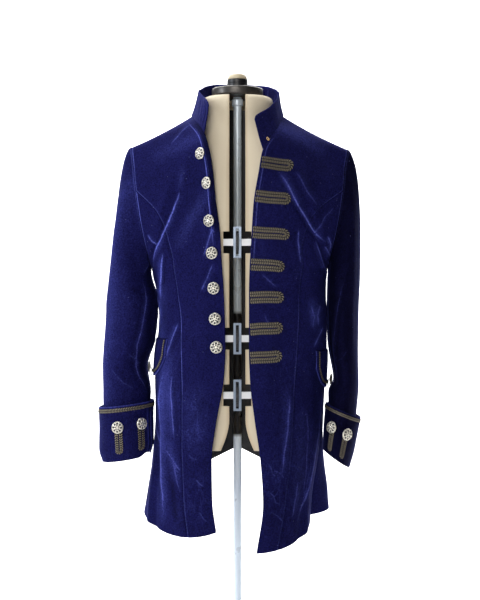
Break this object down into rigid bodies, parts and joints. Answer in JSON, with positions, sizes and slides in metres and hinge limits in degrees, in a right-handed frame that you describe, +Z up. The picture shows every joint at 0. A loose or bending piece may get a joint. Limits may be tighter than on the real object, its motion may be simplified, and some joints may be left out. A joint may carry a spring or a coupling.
{
  "type": "velvet frock coat worn on a split adjustable dress form with a pole and round base",
  "caption": "Open velvet frock coat with a stand collar, turn-back cuffs, pocket flaps, domed buttons and braid loops, worn by a split adjustable dress form on a stand.",
  "frame": {"origin": "centre of the stand base's underside, on the floor", "axes": "+Z up; +X towards the wearer's left; +Y towards the wearer's back, so the coat's front looks along -Y"},
  "size_m": [0.5521, 0.43, 1.5755],
  "materials": {
    "velvet": "cotton velvet, dark royal blue, short pile with a soft sheen",
    "braid": "woven gimp braid, old gold and grey, matt with a faint metal thread",
    "button_metal": "pierced silver-coloured dome",
    "form_cover": "beige jersey over a smooth shell",
    "form_inside": "black, matt",
    "chrome": "polished",
    "knob_plastic": "beige, satin",
    "ring_plastic": "black, satin",
    "adjuster_plastic": "white bars with a silver-grey frame",
    "wheel_plastic": "black, ribbed",
    "base_paint": "black, satin"
  },
  "bodies": {
    "root": {"adjuster_1": "adjuster_plastic", "adjuster_2": "adjuster_plastic", "adjuster_3": "adjuster_plastic", "adjuster_wheel_1": "wheel_plastic", "adjuster_wheel_2": "wheel_plastic", "adjuster_wheel_3": "wheel_plastic", "back_left": "velvet", "back_right": "velvet", "base": "base_paint", "collar": "velvet", "cuff_braid_left": "braid", "cuff_braid_right": "braid", "cuff_button_left_1": "button_metal", "cuff_button_left_2": "button_metal", "cuff_button_right_1": "button_metal", "cuff_button_right_2": "button_metal", "cuff_left": "velvet", "cuff_loop_left_1": "braid", "cuff_loop_left_2": "braid", "cuff_loop_right_1": "braid", "cuff_loop_right_2": "braid", "cuff_right": "velvet", "flap_braid_left": "braid", "flap_braid_right": "braid", "flap_button_left": "button_metal", "flap_button_right": "button_metal", "flap_left": "velvet", "flap_loop_left": "braid", "flap_loop_right": "braid", "flap_right": "velvet", "form_inner": "form_inside", "form_left": "form_cover", "form_right": "form_cover", "front_button_1": "button_metal", "front_button_2": "button_metal", "front_button_3": "button_metal", "front_button_4": "button_metal", "front_button_5": "button_metal", "front_button_6": "button_metal", "front_button_7": "button_metal", "front_left": "velvet", "front_loop_1": "braid", "front_loop_2": "braid", "front_loop_3": "braid", "front_loop_4": "braid", "front_loop_5": "braid", "front_loop_6": "braid", "front_loop_7": "braid", "front_right": "velvet", "knob": "knob_plastic", "neck_cap": "chrome", "neck_ring": "ring_plastic", "pole": "chrome", "side_front_left": "velvet", "side_front_right": "velvet", "sleeve_left": "velvet", "sleeve_right": "velvet"}
  },
  "joints": []
}
